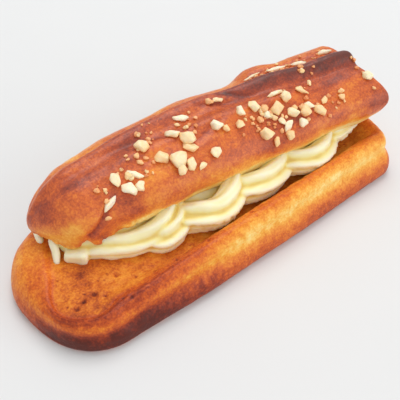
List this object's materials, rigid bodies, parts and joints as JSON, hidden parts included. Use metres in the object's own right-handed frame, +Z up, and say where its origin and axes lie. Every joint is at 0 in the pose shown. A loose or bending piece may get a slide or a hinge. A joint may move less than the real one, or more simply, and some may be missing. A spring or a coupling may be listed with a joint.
{
  "type": "eclair",
  "caption": "Filled eclair: a choux bun cut lengthwise, with piped pastry cream between the halves and chopped nuts on its ridged lid.",
  "frame": {"origin": "on the surface it rests on, at the middle of the eclair's bounding box", "axes": "+X along the eclair to its far end, +Y to its back, +Z up"},
  "size_m": [0.1454, 0.0584, 0.0393],
  "materials": {
    "base_crust": "baked choux crust, golden with a pale waist and a browned foot, lightly glossy",
    "pastry_cream": "smooth pale yellow piped cream, soft sheen",
    "lid_crust": "egg-washed choux crust, red-brown and glossy, with pale chopped nuts baked on"
  },
  "bodies": {
    "root": {"base": "base_crust", "cream": "pastry_cream", "lid": "lid_crust"}
  },
  "joints": []
}
